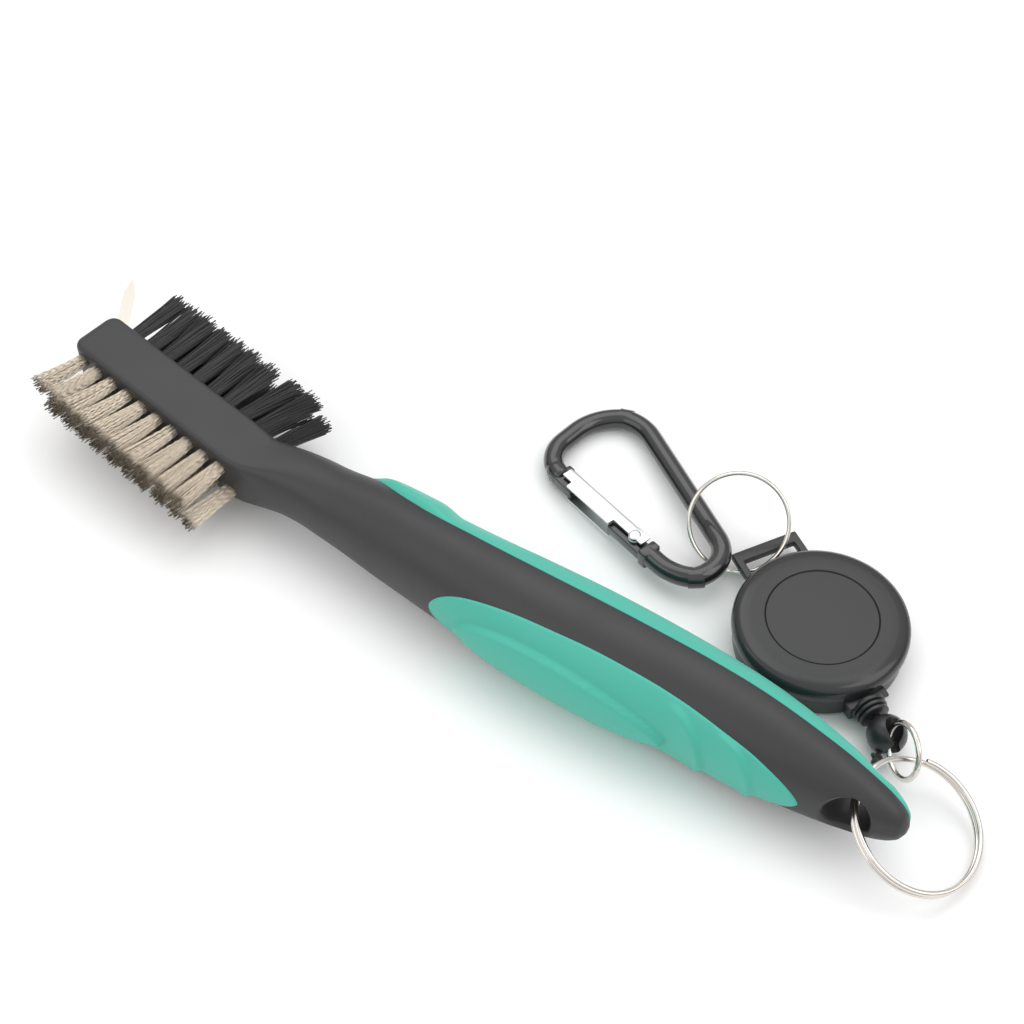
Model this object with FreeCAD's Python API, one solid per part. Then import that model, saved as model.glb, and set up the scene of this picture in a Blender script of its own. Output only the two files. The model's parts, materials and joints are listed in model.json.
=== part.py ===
"""Golf club groove brush with a retractable tether and a carabiner.

The brush lies on its side: X runs from the head's free end to the tail, +Y is the nylon
side, -Y the wire side and Z is up from the surface that everything rests on.  Sizes are in
millimetres.  The finished model is moved so that the origin is the middle of its footprint.
"""
import FreeCAD, Part
import math
import os

V = FreeCAD.Vector
UP = V(0, 0, 1)

# ---- brush: overall sizes -------------------------------------------------------------
BRUSH_LENGTH = 186.3          # X of the tip of the tail
HEAD_LENGTH = 50.5            # along the nylon face
HEAD_HEEL = 3.4               # rounding where the wire face runs into the neck
NECK_START = 47.0
HEAD_THICK = 11.0             # wire face to nylon face
HEAD_HEIGHT = 11.3
HEAD_CORNER = 3.0             # rounding of the free end, seen from above
HEAD_TOE = 8.27               # degrees that the head leans towards the nylon side
HEAD_START = V(-0.65, 4.9, 5.3)  # middle of the lower edge of the head's free end
HEAD_EDGE = 1.2               # fillet round the top and the underside
BELLY_HALF_THICK = 10.4
BELLY_HALF_HEIGHT = 11.0
GRIP_DEPTH = 1.8              # how deep the soft grips are let into the handle
GRIP_PROUD = 0.25             # how far they stand out of it
PAD_PROUD = 1.2               # thumb pad, above the handle's surface
LEAF_SIDE = 0.94              # half-height of the back grip, as a share of the handle's

# ---- bristles -------------------------------------------------------------------------
ROW_PITCH = 5.2
TUFT_PITCH = 4.46
WIRE_TUFTS = 10
NYLON_TUFTS = 9
WIRE_LENGTH = 11.8            # free length, face to tip
NYLON_LENGTH = 13.4
TUFT_ROOT_RADIUS = 1.1
WIRE_TIP_RADIUS = 2.0
NYLON_TIP_RADIUS = 1.9
TUFT_DEPTH = 3.8              # depth of the blind tuft holes
STAPLE_THICK = 0.4
STAPLE_HEIGHT = 1.6
STAPLE_REACH = 0.88             # half-width, as a share of the hole's radius
FIRST_WIRE = 3.6              # first tuft, from the head's free end
FIRST_NYLON = 6.1

# ---- groove spike ---------------------------------------------------------------------
SPIKE_LENGTH = 12.7           # free length
SPIKE_ROOT = 1.8              # length moulded into the head
SPIKE_WIDTH = 2.4
SPIKE_THICK = 0.9
SPIKE_POINT = 4.5             # length of the tapered tip
SPIKE_LEAN = 40.0             # degrees from the nylon face's normal, towards the free end
SPIKE_ALONG = 2.8             # where it leaves the head
SPIKE_RISE = 3.85             # above the middle of the head
SPIKE_TILT = 20.0             # degrees that the blade turns about its length

# ---- tail hole ------------------------------------------------------------------------
HOLE_RADIUS = 4.2
HOLE_FROM_TIP = 9.7
HOLE_Z = 11.2

# ---- loose rings at rest --------------------------------------------------------------
TAIL_RING_RADIUS = 12.2       # to the middle of the wire
TAIL_RING_WIRE = 0.55         # radius of the wire, two turns side by side
TAIL_RING_CENTRE = V(186.6, 3.8, 6.3)
TAIL_RING_NORMAL = V(0.393, 0.065, 0.917)
JUMP_RING_RADIUS = 5.0
JUMP_RING_WIRE = 0.55
JUMP_RING_CENTRE = V(177.75, 15.35, 6.75)
JUMP_RING_NORMAL = V(-0.63, -0.731, 0.262)
REEL_RING_RADIUS = 9.5
REEL_RING_WIRE = 0.42
REEL_RING_CENTRE = V(128.35, 41.81, 7.85)
REEL_RING_NORMAL = V(0.301, -0.651, 0.697)

# ---- retractor reel (its own frame: +X towards the cord's exit, Z up) -----------------
REEL_CENTRE = V(152.4, 31.1, 0)
REEL_TURN = -31.0             # degrees of the cord's direction from X
REEL_RADIUS = 16.5            # front cover
BACK_STEP = 0.6               # the back cover is smaller by this
REEL_HEIGHT = 8.9
PARTING_Z = 5.4
SHELL = 1.2
LIP_GAP = 0.08
CORD_Z = 3.8
CORD_RADIUS = 0.5
CORD_ROOM = 0.3               # clearance round the cord in its bores
CORD_KNEE = 13.5              # where the cord turns into the exit bore
POST_RADIUS = 1.9
RUNNING_FIT = 0.06
SPOOL_RADIUS = 13.2
SPOOL_BOTTOM = 1.6
SPOOL_TOP = 6.6
FLANGE = 0.7
DRUM_RADIUS = 7.2
DRUM_WALL = 0.8
WINDING_RADIUS = 9.0
SPRING_STRIP = 0.3
SPRING_PITCH = 0.75
SPRING_TURNS = 5
BOSS_WIDTH = 7.0
BOSS_REACH = 17.4
BUSH_LENGTH = 2.9
BUSH_SEAT = 1.6               # length let into the boss
BUSH_RADIUS = 2.7
BUSH_PLUG = 1.4
BUSH_RIB = 3.3
LUG_WIDTH = 13.8
LUG_REACH = 22.6
LUG_BAR = 2.3
LUG_SIDE = 1.45
LUG_OFFSET = 0.6              # the lug sits a little to one side of the cord's line
LUG_BOTTOM = 2.3
LUG_TOP = 3.9
BEAD_RADIUS = 3.7
BEAD_GAP = 0.25
BEAD_HOLE = 1.85

# ---- carabiner (its own plane, then tilted where it lies on the ring) ------------------
ROD_RADIUS = 2.0
CARABINER_TILT = 3.3
CARABINER_HINGE = V(88.0, 46.0, 2.2)
CARABINER_AXIS = V(0.93, -0.37, 0)
CARABINER_CORNERS = ((97.4, 56.6, 9.8), (89.0, 53.8, 11.5), (86.2, 37.4, 6.9),
                     (124.3, 25.9, 10.1), (134.6, 33.1, 6.8))
GATE_TOP = 93.2               # X of the hook end of the gate
GATE_PIVOT = 113.1            # X of the rivet
GATE_TAIL = 115.6             # X of the gate's tail
GATE_HEIGHT = 4.2
GATE_DEPTH = 3.8
GATE_WALL = 0.5
WEB_SHORT = 0.9               # the web ends this far before the rivet, so that the gate can turn
TONGUE_THICK = 2.0
TONGUE_WIDTH = 2.6
RIVET_RADIUS = 0.7
RIVET_HEAD = 1.3
RIVET_HEAD_THICK = 0.35


def rotated(shape, angle, axis=UP, about=V(0, 0, 0)):
    turned = shape.copy()
    turned.rotate(about, axis, angle)
    return turned


def moved(shape, offset):
    copy = shape.copy()
    copy.translate(offset)
    return copy


def fused(shapes):
    return shapes[0].multiFuse(shapes[1:]).removeSplitter()


def box(x0, x1, y0, y1, z0, z1):
    return Part.makeBox(x1 - x0, y1 - y0, z1 - z0, V(x0, y0, z0))


def revolved(profile, centre=V(0, 0, 0), axis=UP):
    face = Part.Face(Part.makePolygon([V(r, 0, z) for r, z in profile + profile[:1]]))
    return face.revolve(centre, axis, 360)


def tube(r_in, r_out, z0, z1):
    return Part.makeCylinder(r_out, z1 - z0, V(0, 0, z0)).cut(
        Part.makeCylinder(r_in, z1 - z0, V(0, 0, z0)))


# ---- the head ---------------------------------------------------------------------------
HEAD_MIDDLE = HEAD_HEIGHT / 2
TOUCH = 0.01                    # closer than this counts as the same place


def head_place(shape):
    return moved(rotated(shape, -HEAD_TOE), HEAD_START)


def head_bar():
    side = HEAD_THICK / 2
    bar = box(0, HEAD_LENGTH, -side, side, 0, HEAD_HEIGHT)
    upright = [e for e in bar.Edges if abs(e.tangentAt(e.FirstParameter).z) > 0.9]
    free_end = [e for e in upright if e.CenterOfMass.x < side]
    bar = bar.makeFillet(HEAD_CORNER, free_end)
    heel = [e for e in bar.Edges if abs(e.CenterOfMass.x - HEAD_LENGTH) < TOUCH
            and abs(e.CenterOfMass.y + side) < TOUCH]
    bar = bar.makeFillet(HEAD_HEEL, heel)
    rim = [e for e in bar.Edges if abs(abs(e.CenterOfMass.z - HEAD_MIDDLE) - HEAD_MIDDLE) < TOUCH]
    return head_place(bar.makeFillet(HEAD_EDGE, rim))


# ---- the handle: ellipses along a gently swaying line ------------------------------------
# share of the length behind the head, sway in Y, shares of the belly's thickness and height
STATIONS = ((-0.05, -1.0, 0.45, 0.45), (0.0, -1.5, 0.51, 0.50), (0.036, -0.65, 0.587, 0.582),
            (0.079, 0.15, 0.62, 0.618), (0.122, 0.15, 0.659, 0.664), (0.165, 0.35, 0.707, 0.755),
            (0.208, 0.25, 0.764, 0.818), (0.266, 0.0, 0.80, 0.90),
            (0.353, -0.3, 0.87, 0.955), (0.439, -0.3, 0.96, 0.99),
            (0.525, 0.0, 1.0, 1.0), (0.612, 0.3, 0.99, 1.0),
            (0.698, 0.7, 0.93, 0.97), (0.784, 0.6, 0.855, 0.92),
            (0.856, 0.35, 0.73, 0.80), (0.914, 0.0, 0.585, 0.67),
            (0.964, -0.4, 0.41, 0.49), (0.992, -0.6, 0.21, 0.26))
TIP_SWAY = -0.7
HANDLE_LENGTH = BRUSH_LENGTH - NECK_START
THIN_END = 0.8                  # the core under the grips stops where it would get thinner


def handle_skin(offset=0.0):
    sections = []
    for share, sway, thick, height in STATIONS:
        middle = V(NECK_START + share * HANDLE_LENGTH, sway, BELLY_HALF_HEIGHT)
        half_thick = BELLY_HALF_THICK * thick + offset
        half_height = BELLY_HALF_HEIGHT * height + offset
        if half_thick < THIN_END:
            continue
        ellipse = Part.Ellipse(middle + V(0, 0, half_height), middle + V(0, half_thick, 0), middle)
        sections.append(Part.Wire(ellipse.toShape()))
    if offset >= 0:
        tip = V(BRUSH_LENGTH + offset, TIP_SWAY, BELLY_HALF_HEIGHT)
        sections.append(Part.Vertex(tip))
    return Part.makeLoft(sections, True, False)


def side_prism(outline, y0, y1):
    """A closed smooth outline in share of handle length and height, as a block across Y."""
    points = [V(NECK_START + s * HANDLE_LENGTH, y0, BELLY_HALF_HEIGHT * (1 + h))
              for s, h in outline]
    mirrored = [V(p.x, p.y, 2 * BELLY_HALF_HEIGHT - p.z) for p in points[-2:0:-1]]
    curve = Part.BSplineCurve()
    curve.interpolate(points + mirrored, PeriodicFlag=True)
    return Part.Face(Part.Wire(curve.toShape())).extrude(V(0, y1 - y0, 0))


OVAL = ((0.33, 0), (0.345, 0.36), (0.40, 0.65), (0.49, 0.80), (0.60, 0.85), (0.70, 0.76),
        (0.80, 0.57), (0.85, 0.28), (0.872, 0))
PAD = ((0.375, 0), (0.41, 0.34), (0.50, 0.47), (0.60, 0.40), (0.675, 0.15), (0.69, 0))
LEAF = ((0.14, 0), (0.155, 0.40), (0.20, 0.68), (0.30, 0.85), (0.44, LEAF_SIDE - 0.01),
        (0.60, LEAF_SIDE), (0.74, 0.91), (0.84, 0.76), (0.92, 0.53), (0.97, 0.30), (0.99, 0))
DEEP = 2 * BELLY_HALF_THICK


def grips(skin, core):
    proud = handle_skin(GRIP_PROUD)
    front = side_prism(OVAL, -DEEP, 0)
    back = side_prism(LEAF, 0, DEEP)
    shell = proud.cut(core)
    front_grip = shell.common(front)
    pad = handle_skin(PAD_PROUD).cut(core).common(side_prism(PAD, -DEEP, 0))
    front_grip = front_grip.fuse(pad)
    back_grip = shell.common(back)
    hole = tail_bore()
    ring = skin.cut(core)
    return front_grip, back_grip.cut(hole), ring.common(front), ring.common(back)


def tail_bore():
    x = BRUSH_LENGTH - HOLE_FROM_TIP
    bore = Part.makeCylinder(HOLE_RADIUS, 2 * DEEP, V(x, -DEEP, HOLE_Z), V(0, 1, 0))
    return bore


def tuft_places(count, first):
    """Two rows of tufts: along the head and height; the lower row is half a pitch further on."""
    rows = []
    for row, shift in ((0.5, 0), (-0.5, 0.5)):
        start = first + shift * TUFT_PITCH
        height = HEAD_MIDDLE + row * ROW_PITCH
        rows.append([(start + i * TUFT_PITCH, height) for i in range(count)])
    return rows


def tufts(rows, side, free, tip_radius):
    face = side * HEAD_THICK / 2
    made = []
    for row in rows:
        group = []
        for along, z in row:
            root = face - side * (TUFT_DEPTH - STAPLE_HEIGHT)
            plug = Part.makeCylinder(TUFT_ROOT_RADIUS, abs(face - root), V(along, root, z),
                                     V(0, side, 0))
            fan = Part.makeCone(TUFT_ROOT_RADIUS, tip_radius, free, V(along, face, z),
                                V(0, side, 0))
            group.append(head_place(plug.fuse(fan).removeSplitter()))
        made.append(Part.makeCompound(group))
    return made


def tuft_holes(rows, side):
    face = side * HEAD_THICK / 2
    return [head_place(Part.makeCylinder(TUFT_ROOT_RADIUS, TUFT_DEPTH, V(along, face, z),
                                         V(0, -side, 0))) for row in rows for along, z in row]


def staples(rows, side):
    face = side * HEAD_THICK / 2
    bottom = face - side * TUFT_DEPTH
    top = bottom + side * STAPLE_HEIGHT
    reach = TUFT_ROOT_RADIUS * STAPLE_REACH
    made = []
    for row in rows:
        for along, z in row:
            blade = box(along - reach, along + reach, min(bottom, top),
                        max(bottom, top), z - STAPLE_THICK / 2, z + STAPLE_THICK / 2)
            made.append(head_place(blade))
    return Part.makeCompound(made)


def groove_spike():
    half = SPIKE_WIDTH / 2
    outline = [V(-half, -SPIKE_ROOT, 0), V(half, -SPIKE_ROOT, 0),
               V(half, SPIKE_LENGTH - SPIKE_POINT, 0), V(0, SPIKE_LENGTH, 0),
               V(-half, SPIKE_LENGTH - SPIKE_POINT, 0), V(-half, -SPIKE_ROOT, 0)]
    blade = Part.Face(Part.makePolygon(outline)).extrude(V(0, 0, SPIKE_THICK))
    blade = moved(blade, V(0, 0, -SPIKE_THICK / 2))
    blade = rotated(blade, SPIKE_TILT, V(0, 1, 0))
    blade = rotated(blade, SPIKE_LEAN)
    return head_place(moved(blade, V(SPIKE_ALONG, HEAD_THICK / 2, HEAD_MIDDLE + SPIKE_RISE)))


# ---- rings ------------------------------------------------------------------------------
def unit(v):
    return v / v.Length


def ring_frame(centre, normal):
    return FreeCAD.Placement(centre, FreeCAD.Rotation(UP, unit(normal)))


def split_ring(radius, wire, centre, normal):
    """Two turns of round wire lying against each other, closed up as one solid."""
    top = Part.Arc(V(radius + wire, 0, wire), V(radius, 0, 2 * wire), V(radius - wire, 0, wire))
    bottom = Part.Arc(V(radius - wire, 0, -wire), V(radius, 0, -2 * wire),
                      V(radius + wire, 0, -wire))
    sides = [Part.LineSegment(V(radius - wire, 0, wire), V(radius - wire, 0, -wire)),
             Part.LineSegment(V(radius + wire, 0, -wire), V(radius + wire, 0, wire))]
    edges = [top.toShape(), sides[0].toShape(), bottom.toShape(), sides[1].toShape()]
    ring = Part.Face(Part.Wire(edges)).revolve(V(0, 0, 0), UP, 360)
    ring.Placement = ring_frame(centre, normal)
    return ring


def jump_ring():
    ring = Part.makeTorus(JUMP_RING_RADIUS, JUMP_RING_WIRE)
    ring.Placement = ring_frame(JUMP_RING_CENTRE, JUMP_RING_NORMAL)
    return ring


# ---- reel -------------------------------------------------------------------------------
BACK_RADIUS = REEL_RADIUS - BACK_STEP
WALL_INSIDE = BACK_RADIUS - SHELL


def reel_place(shape):
    return moved(rotated(shape, REEL_TURN), REEL_CENTRE)


def reel_point(along, across, z):
    return rotated(Part.Vertex(along, across, z), REEL_TURN).Point + REEL_CENTRE


def cord_bore(radius, x0, x1):
    return Part.makeCylinder(radius, x1 - x0, V(x0, 0, CORD_Z), V(1, 0, 0))


def reel_back_cover():
    cup = revolved([(0, 0), (BACK_RADIUS - 0.6, 0), (BACK_RADIUS, 0.6), (BACK_RADIUS, PARTING_Z),
                    (WALL_INSIDE, PARTING_Z), (WALL_INSIDE, SHELL), (0, SHELL)])
    post = Part.makeCylinder(POST_RADIUS, SPOOL_TOP - SHELL, V(0, 0, SHELL))
    boss = box(WALL_INSIDE + 0.2, BOSS_REACH, -BOSS_WIDTH / 2, BOSS_WIDTH / 2, 0.9, PARTING_Z - 0.1)
    low = LUG_OFFSET - LUG_WIDTH / 2
    high = LUG_OFFSET + LUG_WIDTH / 2
    lug = box(-LUG_REACH, -WALL_INSIDE - 0.2, low, high, LUG_BOTTOM, LUG_TOP)
    window = box(-LUG_REACH + LUG_BAR, -BACK_RADIUS - 0.25, low + LUG_SIDE, high - LUG_SIDE,
                 0, REEL_HEIGHT)
    body = fused([cup, post, boss, lug]).cut(window)
    socket = cord_bore(BUSH_PLUG, BOSS_REACH - BUSH_SEAT, BOSS_REACH)
    return reel_place(body.cut(cord_bore(CORD_RADIUS + CORD_ROOM, 10, BOSS_REACH)).cut(socket))


def reel_front_cover():
    edge = 1.6
    face_dip = 0.12
    ring_in = REEL_RADIUS * 0.63
    profile = [(0, REEL_HEIGHT - face_dip), (ring_in, REEL_HEIGHT - face_dip),
               (ring_in, REEL_HEIGHT), (REEL_RADIUS - edge, REEL_HEIGHT),
               (REEL_RADIUS - 0.5 * edge, REEL_HEIGHT - 0.25 * edge),
               (REEL_RADIUS, REEL_HEIGHT - edge), (REEL_RADIUS, PARTING_Z),
               (WALL_INSIDE - LIP_GAP, PARTING_Z), (WALL_INSIDE - LIP_GAP, PARTING_Z - 1.0),
               (WALL_INSIDE - 1.0, PARTING_Z - 1.0), (WALL_INSIDE - 1.0, REEL_HEIGHT - SHELL),
               (0, REEL_HEIGHT - SHELL)]
    cover = revolved(profile)
    keeper = tube(POST_RADIUS + RUNNING_FIT, POST_RADIUS + 1.0, SPOOL_TOP + 0.4, REEL_HEIGHT - SHELL)
    return reel_place(cover.fuse(keeper))


def cord_exit_bush():
    end = BOSS_REACH + BUSH_LENGTH
    parts = [cord_bore(BUSH_PLUG, BOSS_REACH - BUSH_SEAT, end),
             cord_bore(BUSH_RADIUS, BOSS_REACH, end)]
    rib = BUSH_LENGTH / 5
    for i in (0, 2, 4):
        start = BOSS_REACH + i * rib
        parts.append(cord_bore(BUSH_RIB - 0.1 * i, start, start + rib))
    bush = fused(parts)
    return reel_place(bush.cut(cord_bore(CORD_RADIUS + CORD_ROOM, 10, end + 1)))


def spool():
    hub_hole = POST_RADIUS + RUNNING_FIT
    lower = tube(hub_hole, SPOOL_RADIUS, SPOOL_BOTTOM, SPOOL_BOTTOM + FLANGE)
    drum = tube(DRUM_RADIUS - DRUM_WALL, DRUM_RADIUS, SPOOL_BOTTOM, SPOOL_TOP)
    upper = tube(DRUM_RADIUS - DRUM_WALL, SPOOL_RADIUS, SPOOL_TOP - FLANGE, SPOOL_TOP)
    return reel_place(fused([lower, drum, upper]))


def cord_winding():
    return reel_place(tube(DRUM_RADIUS, WINDING_RADIUS, SPOOL_BOTTOM + FLANGE, SPOOL_TOP - FLANGE))


def spiral_spring():
    """A flat strip coiled out from the post: half circles, each a half pitch wider."""
    z0 = SPOOL_BOTTOM + FLANGE + 0.3
    height = SPOOL_TOP - FLANGE - 0.3 - z0
    inner = []
    outer = []
    x = POST_RADIUS + 0.02
    side = 1
    for _ in range(2 * SPRING_TURNS):
        radius_in = x + SPRING_PITCH / 4
        for radius, chain in ((radius_in, inner), (radius_in + SPRING_STRIP, outer)):
            start = V(side * (x + (radius - radius_in)), 0, 0)
            middle_x = start.x - side * radius
            chain.append(Part.Arc(start, V(middle_x, side * radius, 0),
                                  V(start.x - side * 2 * radius, 0, 0)).toShape())
        x = 2 * radius_in - x
        side = -side
    ends = [Part.makeLine(inner[0].Vertexes[0].Point, outer[0].Vertexes[0].Point),
            Part.makeLine(inner[-1].Vertexes[-1].Point, outer[-1].Vertexes[-1].Point)]
    wire = Part.Wire(Part.__sortEdges__(inner + outer + ends))
    return reel_place(Part.Face(wire).extrude(V(0, 0, height)).translated(V(0, 0, z0)))


def reel_cord():
    """The cord inside the reel: off the winding's side, bent once to the exit bore."""
    circle = WINDING_RADIUS + CORD_RADIUS + CORD_ROOM
    angle = -math.acos(circle / CORD_KNEE)
    off = V(circle * math.cos(angle), circle * math.sin(angle), CORD_Z)
    knee = V(CORD_KNEE, 0, CORD_Z)
    out = V(BOSS_REACH - 0.5, 0, CORD_Z)
    run_in = unit(off - knee)
    run_out = unit(out - knee)
    reach = 0.45 * min((off - knee).Length, (out - knee).Length)
    a = knee + run_in * reach
    b = knee + run_out * reach
    bend = math.radians(180) - run_in.getAngle(run_out)
    radius = reach / math.tan(bend / 2)
    centre = knee + unit(run_in + run_out) * (radius / math.cos(bend / 2))
    mid = centre + unit(knee - centre) * radius
    print("cord bend radius", round(radius, 2))
    path = Part.Wire([Part.makeLine(off, a), Part.Arc(a, mid, b).toShape(), Part.makeLine(b, out)])
    start = Part.Wire(Part.makeCircle(CORD_RADIUS, off, run_in))
    return reel_place(path.makePipeShell([start], True, False))


BEAD_ALONG = BOSS_REACH + BUSH_LENGTH + BEAD_GAP + BEAD_RADIUS


def bead_cross_hole():
    """The jump ring's clearance hole: a straight bore beside the ring's own curve."""
    centre = reel_point(BEAD_ALONG, 0, CORD_Z)
    to_ring = unit(JUMP_RING_CENTRE - centre)
    axis = unit(unit(JUMP_RING_NORMAL).cross(to_ring))
    near = JUMP_RING_CENTRE - to_ring * (JUMP_RING_RADIUS - 0.7)
    return Part.makeCylinder(BEAD_HOLE, 30, near - axis * 15, axis)


def bead_stop():
    ball = Part.makeSphere(BEAD_RADIUS, V(BEAD_ALONG, 0, CORD_Z))
    bore = cord_bore(CORD_RADIUS, BEAD_ALONG - 2 * BEAD_RADIUS, BEAD_ALONG)
    return reel_place(ball.cut(bore)).cut(bead_cross_hole())


def cord_end():
    """The cord's last stretch: from inside the bush into the bead."""
    start = BOSS_REACH - 0.2
    stop = BEAD_ALONG - BEAD_RADIUS + 1.6
    return reel_place(cord_bore(CORD_RADIUS, start, stop)).cut(bead_cross_hole())


# ---- carabiner --------------------------------------------------------------------------
GATE_A = V(CARABINER_CORNERS[2][0], CARABINER_CORNERS[2][1], 0)
GATE_B = V(CARABINER_CORNERS[3][0], CARABINER_CORNERS[3][1], 0)
GATE_DIR = unit(GATE_B - GATE_A)
GATE_IN = UP.cross(GATE_DIR)


def on_gate(x, inward=0.0, z=0.0):
    return GATE_A + GATE_DIR * ((x - GATE_A.x) / GATE_DIR.x) + GATE_IN * inward + V(0, 0, z)


def carabiner_place(shape):
    flat = moved(shape, V(0, 0, CARABINER_HINGE.z))
    return rotated(flat, -CARABINER_TILT, UP.cross(CARABINER_AXIS), CARABINER_HINGE)


def rod_path():
    corners = [(V(x, y, 0), r) for x, y, r in CARABINER_CORNERS]
    ordered = [corners[3], corners[4], corners[0], corners[1], corners[2]]
    points = [on_gate(GATE_TAIL + 1.5)] + [p for p, _ in ordered] + [on_gate(GATE_TOP - 1.2)]
    edges = []
    last = points[0]
    for i, (corner, radius) in enumerate(ordered):
        back = unit(points[i] - corner)
        ahead = unit(points[i + 2] - corner)
        half = back.getAngle(ahead) / 2
        reach = radius / math.tan(half)
        a = corner + back * reach
        b = corner + ahead * reach
        centre = corner + unit(back + ahead) * (radius / math.sin(half))
        mid = centre + unit(corner - centre) * radius
        edges.append(Part.makeLine(last, a))
        edges.append(Part.Arc(a, mid, b).toShape())
        last = b
    edges.append(Part.makeLine(last, points[-1]))
    return Part.Wire(edges)


def gate_block(x0, x1, in0, in1, z0, z1):
    length = (x1 - x0) / GATE_DIR.x
    block = box(0, length, in0, in1, z0, z1)
    angle = math.degrees(math.atan2(GATE_DIR.y, GATE_DIR.x))
    return moved(rotated(block, angle), on_gate(x0))


def carabiner_body():
    path = rod_path()
    start = path.Edges[0]
    profile = Part.Wire(Part.makeCircle(ROD_RADIUS, start.Vertexes[0].Point,
                                        start.tangentAt(start.FirstParameter)))
    rod = path.makePipeShell([profile], True, False)
    low = -TONGUE_THICK / 2
    high = TONGUE_THICK / 2
    half = TONGUE_WIDTH / 2
    pivot_tongue = gate_block(GATE_PIVOT - 2.6, GATE_TAIL + 3.0, -half, half, low, high)
    hook_tongue = gate_block(GATE_TOP - 2.6, GATE_TOP + 4.2, -half, half * 0.3, low, high)
    hole = Part.makeCylinder(RIVET_RADIUS, 4 * ROD_RADIUS, on_gate(GATE_PIVOT, 0, -2 * ROD_RADIUS))
    return carabiner_place(fused([rod, pivot_tongue, hook_tongue]).cut(hole))


def carabiner_gate():
    inner = GATE_DEPTH / 2
    half = GATE_HEIGHT / 2
    web = gate_block(GATE_TOP, GATE_PIVOT - WEB_SHORT, inner - GATE_WALL, inner, -half, half)
    flanges = [gate_block(GATE_TOP, GATE_TAIL, -inner, inner, z, z + GATE_WALL)
               for z in (-half, half - GATE_WALL)]
    hole = Part.makeCylinder(RIVET_RADIUS + RUNNING_FIT, 4 * half, on_gate(GATE_PIVOT, 0, -2 * half))
    return carabiner_place(fused([web] + flanges).cut(hole))


def gate_rivet():
    half = GATE_HEIGHT / 2 + 0.05
    shank = Part.makeCylinder(RIVET_RADIUS, 2 * half, on_gate(GATE_PIVOT, 0, -half))
    heads = [Part.makeCylinder(RIVET_HEAD, RIVET_HEAD_THICK, on_gate(GATE_PIVOT, 0, z))
             for z in (half, -half - RIVET_HEAD_THICK)]
    return carabiner_place(fused([shank] + heads))


def gate_spring():
    gap = GATE_HEIGHT / 2 - GATE_WALL - TONGUE_THICK / 2
    wire = gap / 2 - 0.06
    coil = Part.makeTorus(RIVET_RADIUS + 0.15 + wire, wire)
    return carabiner_place(moved(coil, on_gate(GATE_PIVOT, 0, TONGUE_THICK / 2 + gap / 2)))


# ---- everything together ------------------------------------------------------------------
def brush_parts():
    wire_rows = tuft_places(WIRE_TUFTS, FIRST_WIRE)
    nylon_rows = tuft_places(NYLON_TUFTS, FIRST_NYLON)
    skin = handle_skin()
    core = handle_skin(-GRIP_DEPTH)
    front_grip, back_grip, front_room, back_room = grips(skin, core)
    spike = groove_spike()
    body = head_bar().fuse(skin).removeSplitter()
    for cutter in [front_room, back_room, tail_bore(), spike]:
        body = body.cut(cutter)
    body = body.cut(Part.makeCompound(tuft_holes(wire_rows, -1) + tuft_holes(nylon_rows, 1)))
    parts = {"handle_body": body, "front_grip": front_grip, "back_grip": back_grip,
             "groove_spike": spike, "wire_staples": staples(wire_rows, -1),
             "nylon_staples": staples(nylon_rows, 1)}
    wire = tufts(wire_rows, -1, WIRE_LENGTH, WIRE_TIP_RADIUS)
    nylon = tufts(nylon_rows, 1, NYLON_LENGTH, NYLON_TIP_RADIUS)
    for name, wire_row, nylon_row in zip(("top", "bottom"), wire, nylon):
        parts["wire_row_" + name] = wire_row
        parts["nylon_row_" + name] = nylon_row
    return parts


def tether_parts():
    return {"tail_split_ring": split_ring(TAIL_RING_RADIUS, TAIL_RING_WIRE, TAIL_RING_CENTRE,
                                          TAIL_RING_NORMAL),
            "jump_ring": jump_ring(), "bead_stop": bead_stop(), "cord_end": cord_end(),
            "reel_back_cover": reel_back_cover(), "reel_front_cover": reel_front_cover(),
            "cord_exit_bush": cord_exit_bush(), "reel_cord": reel_cord(),
            "spiral_spring": spiral_spring(), "spool": spool(), "cord_winding": cord_winding(),
            "reel_split_ring": split_ring(REEL_RING_RADIUS, REEL_RING_WIRE, REEL_RING_CENTRE,
                                          REEL_RING_NORMAL),
            "carabiner_body": carabiner_body(), "carabiner_gate": carabiner_gate(),
            "gate_rivet": gate_rivet(), "gate_spring": gate_spring()}


def main():
    os.makedirs("parts", exist_ok=True)
    parts = brush_parts()
    parts.update(tether_parts())
    whole = Part.makeCompound(list(parts.values())).optimalBoundingBox(False, False)
    shift = V(-whole.Center.x, -whole.Center.y, -whole.ZMin)
    for name, shape in parts.items():
        if not shape.isValid():
            print("NOT VALID", name)
        moved(shape, shift).exportStep("parts/" + name + ".step")
        print(name, len(shape.Solids), round(shape.Volume, 2))
    print("shift", tuple(round(c, 4) for c in shift))
    print("size", round(whole.XLength, 2), round(whole.YLength, 2), round(whole.ZLength, 2))
    return parts, shift


if __name__ == "__main__":
    main()
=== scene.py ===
# %% [markdown]
# # A club groove brush, its reel and its clip
#
# The brush lies on its side on a pale table. It has a black handle with soft green grips, rows
# of crimped wire on one side of the head and black nylon on the other, and a small steel spike.
# A split ring through the tail leads to a cord reel, and a carabiner hangs from the reel's own
# ring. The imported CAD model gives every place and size, and it is opened first, so that each
# piece made here can be put exactly where its CAD solid is.

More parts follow.
